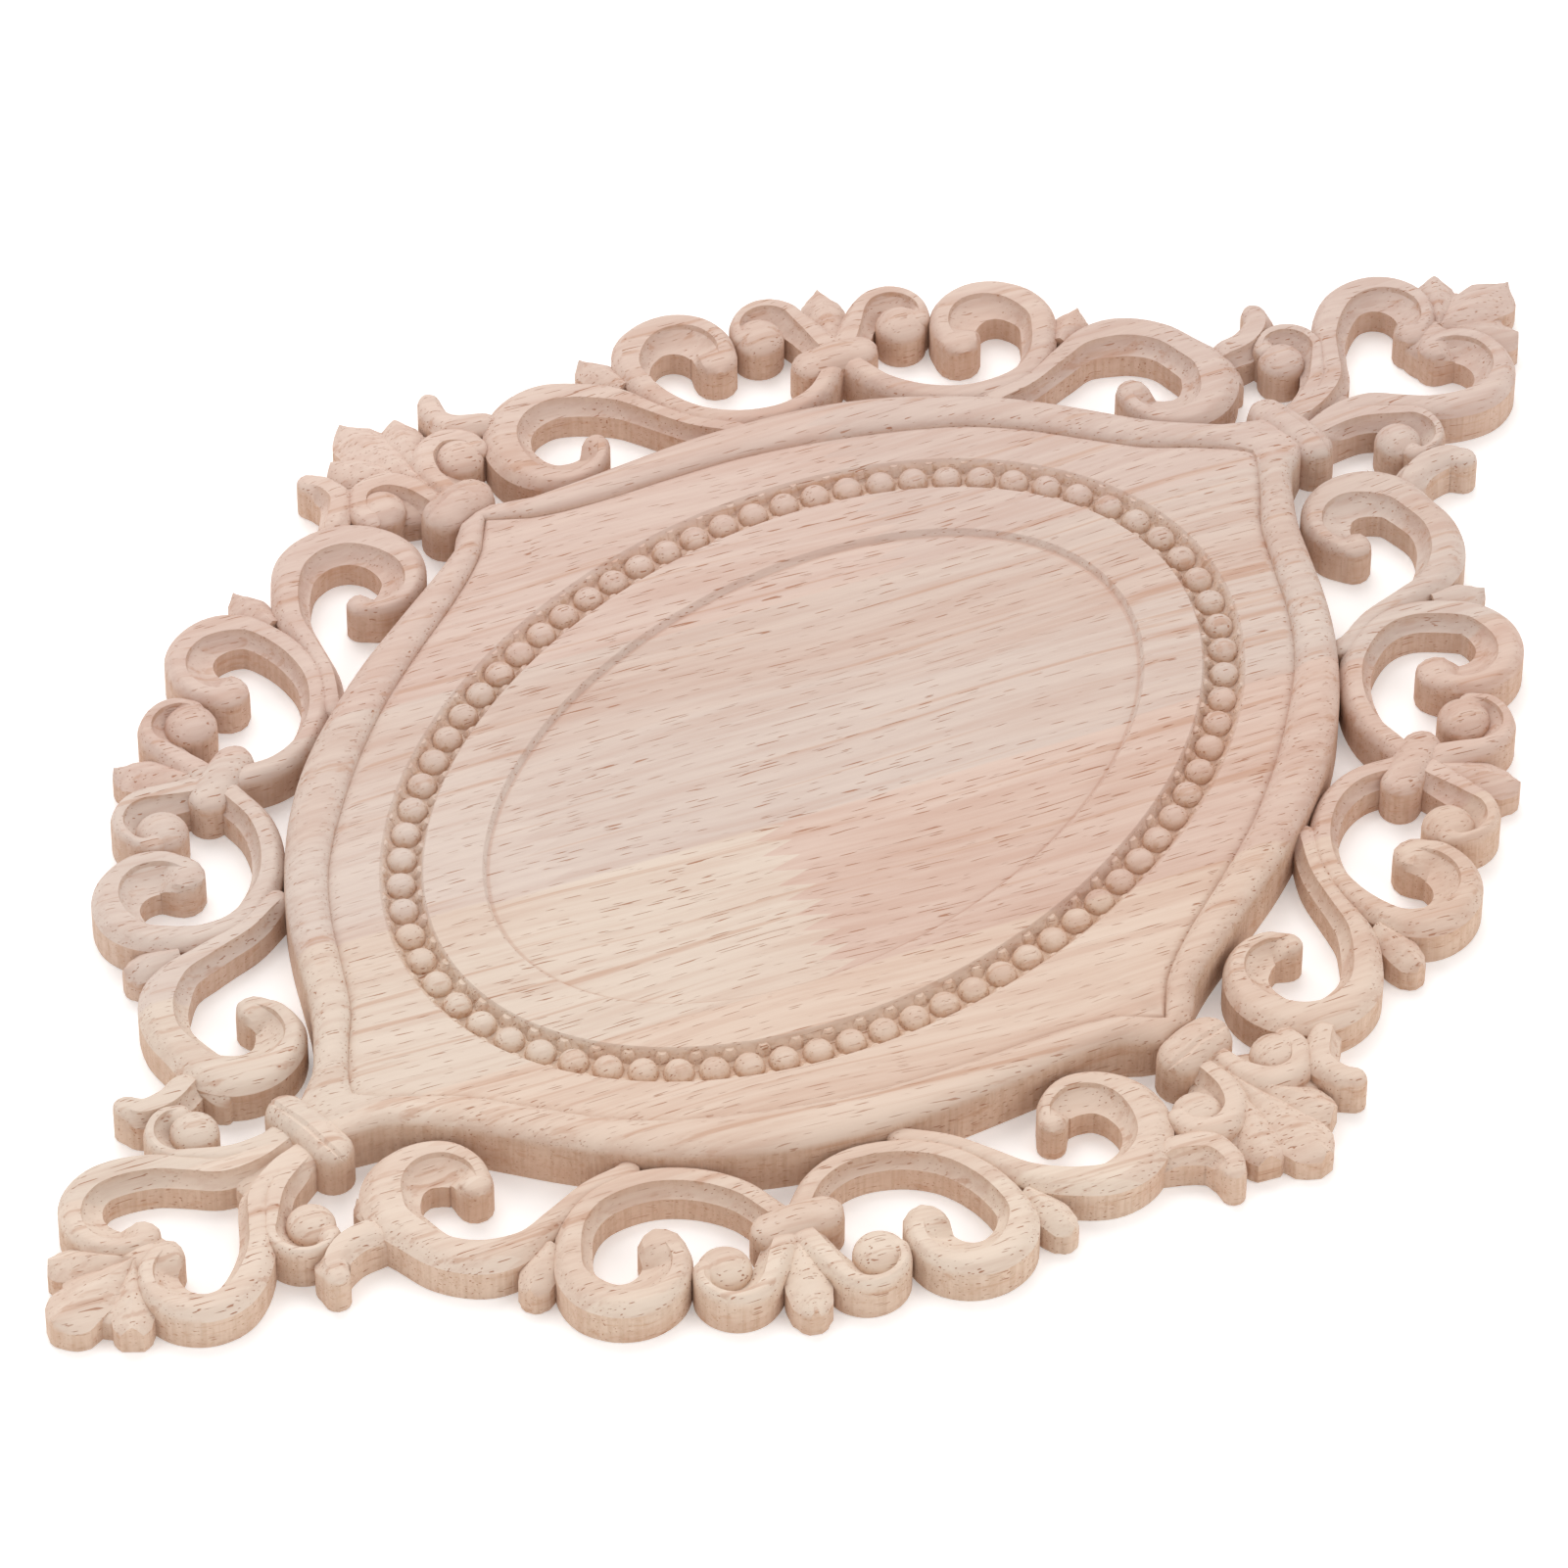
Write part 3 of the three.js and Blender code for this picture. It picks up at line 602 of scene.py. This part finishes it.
# shader maths as expressions
class Flow:
    def __init__(self, tree, socket):
        self.tree = tree
        self.socket = socket

    def node(self, kind, values, out=0, **settings):
        made = self.tree.nodes.new(kind)
        for key, value in settings.items():
            setattr(made, key, value)
        for where, value in values.items():
            if isinstance(value, Flow):
                self.tree.links.new(value.socket, made.inputs[where])
            else:
                made.inputs[where].default_value = value
        return Flow(self.tree, made.outputs[out])

    def parts(self):
        split = self.tree.nodes.new("ShaderNodeSeparateXYZ")
        self.tree.links.new(self.socket, split.inputs[0])
        return [Flow(self.tree, socket) for socket in split.outputs]

    def maths(self, operation, *others):
        return self.node("ShaderNodeMath", dict(enumerate((self,) + others)), operation=operation)

    def __add__(self, other):
        return self.maths("ADD", other)

    def __sub__(self, other):
        return self.maths("SUBTRACT", other)

    def __mul__(self, other):
        return self.maths("MULTIPLY", other)

    def __truediv__(self, other):
        return self.maths("DIVIDE", other)

    def __radd__(self, other):
        return self.maths("ADD", other)

    def __rmul__(self, other):
        return self.maths("MULTIPLY", other)

    def __rsub__(self, other):
        return self.node("ShaderNodeMath", {0: other, 1: self}, operation="SUBTRACT")

    def above(self, edge, blur):
        return self.node("ShaderNodeMapRange", {"Value": self, "From Min": edge - blur, "From Max": edge + blur},
                         interpolation_type="SMOOTHSTEP")

    def mixed(self, first, second):
        # self is the factor
        return self.node("ShaderNodeMix", {"Factor": self, 6: first, 7: second}, out=2, data_type="RGBA")


def tone(red, green, blue):
    # screen colours to linear light
    return tuple(((c / 255 + 0.055) / 1.055) ** 2.4 for c in (red, green, blue)) + (1.0,)


# lengths are in metres; a mask is its edge, its blur and the share of the colour that it lays on
woodMake = {
    "grainTurn": 23.0, "fingerPitch": 0.0043, "fingerDeep": 0.0074, "jointBlur": 0.0002, "staveBlur": 0.0004,
    "wander": 0.012, "wanderScale": (9, 20, 20),
    "roughness": 0.78, "fibreRoughness": 0.14, "specular": 0.3,
    # across the grain from low to high: upper edge, joint place, colour before and after the joint
    "staves": [
        (-0.115, 0.02, (222, 203, 186), (217, 194, 177)),
        (-0.055, -0.10, (220, 200, 184), (215, 192, 175)),
        (-0.012, -0.012, (214, 196, 181), (207, 180, 166)),
        (0.045, -0.055, (208, 190, 179), (204, 185, 174)),
        (0.100, 0.04, (206, 181, 169), (202, 179, 168)),
        (0.170, -0.03, (213, 189, 176), (209, 185, 172)),
    ],
    # the colour laid on upright walls is painted shade
    # the streak colour marks grain streaks and is also painted shade at the foot of the recess step
    "streakAndShade": (188, 145, 124), "line": (182, 134, 106), "pore": (164, 110, 80), "shadedWall": (204, 166, 136),
    # the channel colour is painted shade in the bead channel
    "channel": (204, 164, 126), "light": (236, 221, 207), "fleck": (164, 118, 78),
    "bandMask": (0.56, 0.12, 0.3), "fibreMask": (0.57, 0.1, 0.2), "lineMask": (0.62, 0.05, 0.45),
    "lightMask": (0.56, 0.16, 0.2), "markMask": (0.52, 0.12, 0.18), "fleckMask": (0.6, 0.06, 0.32),
    "dashMask": (0.75, 0.03), "patchMask": (0.38, 0.2), "poreShare": 0.85,
    "shadedWallMask": (0.7, 0.25, 0.4), "wallFlecks": 0.5, "fuzzScale": 850.0, "markScale": (950, 950, 55),
}

# noise drawn out along the grain: scales along and across it, and a shift
grainMake = {
    "bands": {"scales": (4, 45), "shift": 0.0, "Detail": 4.0, "Roughness": 0.5, "Distortion": 0.9},
    "fibres": {"scales": (22, 480), "shift": 3.0, "Detail": 5.0, "Roughness": 0.65},
    "dashes": {"scales": (170, 3000), "shift": 7.0, "Detail": 0.0, "Roughness": 0.5},
    "patches": {"scales": (14, 40), "shift": 5.0, "Detail": 2.0},
    "lines": {"scales": (6, 420), "shift": 11.0, "Detail": 3.0, "Roughness": 0.6, "Distortion": 0.3},
}

# ovals along which painted shade is laid on the wood, in the bead channel and at the foot of the recess step: half
# length, half width, then reach and blur as shares of them
bandMake = {
    "channel": {"halves": (0.0957, 0.066), "reach": (0.056, 0.01), "top": (0.0107, 0.001), "base": 0.08, "fuzz": 0.32},
    "stepFootShade": {"halves": (0.0779, 0.0487), "reach": (0.0055, 0.003), "share": 0.3},
}
reliefMake = {"fibres": 0.35, "pores": 0.6, "marks": 1.4, "fuzz": 1.2, "strength": 0.55, "distance": 0.0004}


def makeWood(obj):
    wood = bpy.data.materials.new("rubberwood")
    wood.use_nodes = True
    tree = wood.node_tree
    shader = tree.nodes["Principled BSDF"]
    start = Flow(tree, tree.nodes.new("ShaderNodeTexCoord").outputs["Object"])
    turned = start.node("ShaderNodeMapping", {"Vector": start, "Rotation": (0, 0, math.radians(woodMake["grainTurn"]))})
    along, across = turned.parts()[:2]
    x, y, z = start.parts()

    def noise(vector, **inputs):
        return start.node("ShaderNodeTexNoise", {"Vector": vector, "Scale": 1.0, **inputs})

    def scaled(vector, scales):
        return start.node("ShaderNodeVectorMath", {0: vector, 1: scales}, operation="MULTIPLY")

    def laid(factor, colour, over):
        return factor.mixed(colour, tone(*woodMake[over]))

    # the grain wanders a little
    wander = noise(scaled(turned, woodMake["wanderScale"]), Detail=1.0)
    bend = start.node("ShaderNodeCombineXYZ", {1: (wander - 0.5) * woodMake["wander"]})
    bent = start.node("ShaderNodeVectorMath", {0: turned, 1: bend}, operation="ADD")

    def grain(name):
        inputs = dict(grainMake[name])
        alongScale, acrossScale = inputs.pop("scales")
        shift = inputs.pop("shift")
        drawn = start.node("ShaderNodeVectorMath", {0: bent, 1: (alongScale, acrossScale, acrossScale),
                                                    2: (shift, shift, shift)}, operation="MULTIPLY_ADD")
        return noise(drawn, **inputs)

    # finger-jointed staves
    halfPitch = woodMake["fingerPitch"] / 2
    zigzag = across.maths("PINGPONG", halfPitch) * (woodMake["fingerDeep"] / halfPitch)
    colour = None
    for high, joint, before, after in woodMake["staves"]:
        stave = (along + zigzag).above(joint, woodMake["jointBlur"]).mixed(tone(*before), tone(*after))
        colour = stave if colour is None else across.above(low, woodMake["staveBlur"]).mixed(colour, stave)
        low = high

    # growth bands, fine fibres, lines and pores
    bands, fibres, dashes = grain("bands"), grain("fibres"), grain("dashes")
    patches, lines = grain("patches"), grain("lines")
    pores = dashes.above(*woodMake["dashMask"]) * patches.above(*woodMake["patchMask"])
    for layer, mask, over in ((bands, "bandMask", "streakAndShade"), (fibres, "fibreMask", "streakAndShade"),
                              (lines, "lineMask", "line"), (1 - fibres, "lightMask", "light")):
        edge, blur, share = woodMake[mask]
        colour = laid(layer.above(edge, blur) * share, colour, over)

    # painted shade: upright walls and the bead channel are darkened to a browner tone
    geometry = Flow(tree, tree.nodes.new("ShaderNodeNewGeometry").outputs["Normal"])
    upright = 1 - geometry.parts()[2].maths("ABSOLUTE")
    edge, blur, share = woodMake["shadedWallMask"]
    shadedWall = upright.above(edge, blur)
    colour = laid(shadedWall * share, colour, "shadedWall")
    fuzz = start.node("ShaderNodeTexNoise", {"Vector": start, "Scale": woodMake["fuzzScale"], "Detail": 3.0})
    marks = noise(scaled(start, woodMake["markScale"]), Detail=2.0)
    edge, blur, share = woodMake["markMask"]
    colour = laid(shadedWall * marks.above(edge, blur) * share, colour, "fleck")

    def ovalBand(name):
        halfLength, halfWidth = bandMake[name]["halves"]
        distance = ((x / halfLength).maths("POWER", 2) + (y / halfWidth).maths("POWER", 2)).maths("SQRT")
        return 1 - (distance - 1).maths("ABSOLUTE").above(*bandMake[name]["reach"])

    # painted shade: the bead channel floor is darkened, mottled by the fuzz noise
    channel = bandMake["channel"]
    ringBand = ovalBand("channel") * (1 - z.above(*channel["top"]))
    colour = laid(ringBand * (channel["base"] + fuzz * channel["fuzz"]), colour, "channel")
    # painted shade: a thin dark line at the foot of the recess step, in the streak colour
    colour = laid(ovalBand("stepFootShade") * bandMake["stepFootShade"]["share"], colour, "streakAndShade")
    edge, blur, share = woodMake["fleckMask"]
    rough = (shadedWall * woodMake["wallFlecks"] + ringBand).maths("MINIMUM", 1.0)
    colour = laid(rough * fuzz.above(edge, blur) * share, colour, "fleck")
    colour = laid(pores * woodMake["poreShare"], colour, "pore")
    tree.links.new(colour.socket, shader.inputs["Base Color"])
    dullness = woodMake["roughness"] + fibres * woodMake["fibreRoughness"]
    tree.links.new(dullness.socket, shader.inputs["Roughness"])

    # tool marks run up the walls; fibres and pores dent the surface
    relief = (fibres * reliefMake["fibres"] - pores * reliefMake["pores"]
              + marks * shadedWall * reliefMake["marks"] + fuzz * ringBand * reliefMake["fuzz"])
    bump = start.node("ShaderNodeBump", {"Height": relief, "Strength": reliefMake["strength"],
                                         "Distance": reliefMake["distance"]})
    tree.links.new(bump.socket, shader.inputs["Normal"])
    shader.inputs["Specular IOR Level"].default_value = woodMake["specular"]
    obj.data.materials.clear()
    obj.data.materials.append(wood)


makeWood(carving)
print("wood made")

# pale floor that glows a little, so that it hardly takes a shadow
floorMake = {"size": 8.0, "drop": 0.0002, "colour": (0.97, 0.97, 0.97), "roughness": 0.9, "glow": 0.2}
floorMesh = bmesh.new()
bmesh.ops.create_grid(floorMesh, x_segments=1, y_segments=1, size=floorMake["size"] / 2)
floor = asObject(floorMesh, "floor")
paint = bpy.data.materials.new("floorPaint")
paint.use_nodes = True
coat = paint.node_tree.nodes["Principled BSDF"].inputs
coat["Base Color"].default_value = (*floorMake["colour"], 1)
coat["Roughness"].default_value = floorMake["roughness"]
coat["Emission Color"].default_value = (1, 1, 1, 1)
coat["Emission Strength"].default_value = floorMake["glow"]
floor.data.materials.append(paint)
floor.location.z = -floorMake["drop"]

# camera with a long lens, aimed near the middle of the part
cameraMake = {"place": (-0.9501, -0.9486, 1.4153), "aim": (-0.0093, -0.0001, 0.0113), "roll": 0.22,
              "lens": 223.1, "sensor": 36, "nearest": 0.05}
lens = bpy.data.cameras.new("camera")
lens.lens = cameraMake["lens"]
lens.sensor_width = cameraMake["sensor"]
lens.clip_start = cameraMake["nearest"]
camera = bpy.data.objects.new("camera", lens)
bpy.context.scene.collection.objects.link(camera)
camera.location = cameraMake["place"]
look = (Vector(cameraMake["aim"]) - Vector(cameraMake["place"])).to_track_quat("-Z", "Y").to_matrix()
camera.rotation_euler = (look @ Matrix.Rotation(math.radians(cameraMake["roll"]), 3, "Z")).to_euler()
bpy.context.scene.camera = camera

# soft studio light
lightMake = [
    {"name": "overhead", "place": (0.5, 0.9, 1.6), "size": 1.6, "power": 21},
    {"name": "leftFill", "place": (-1.5, 0.5, 1.0), "size": 1.4, "power": 8},
    {"name": "frontFill", "place": (0.6, -1.7, 1.3), "size": 1.6, "power": 15},
]
for item in lightMake:
    lamp = bpy.data.lights.new(item["name"], "AREA")
    lamp.size = item["size"]
    lamp.energy = item["power"]
    holder = bpy.data.objects.new(item["name"], lamp)
    holder.location = item["place"]
    holder.rotation_euler = (-Vector(item["place"])).to_track_quat("-Z", "Y").to_euler()
    bpy.context.scene.collection.objects.link(holder)

studioMake = {"colour": (1.0, 0.99, 0.98), "strength": 0.54}
world = bpy.data.worlds.new("studio")
world.use_nodes = True
world.node_tree.nodes["Background"].inputs["Color"].default_value = (*studioMake["colour"], 1)
world.node_tree.nodes["Background"].inputs["Strength"].default_value = studioMake["strength"]
bpy.context.scene.world = world
bpy.context.scene.view_settings.view_transform = "Standard"
print("camera and lights placed")
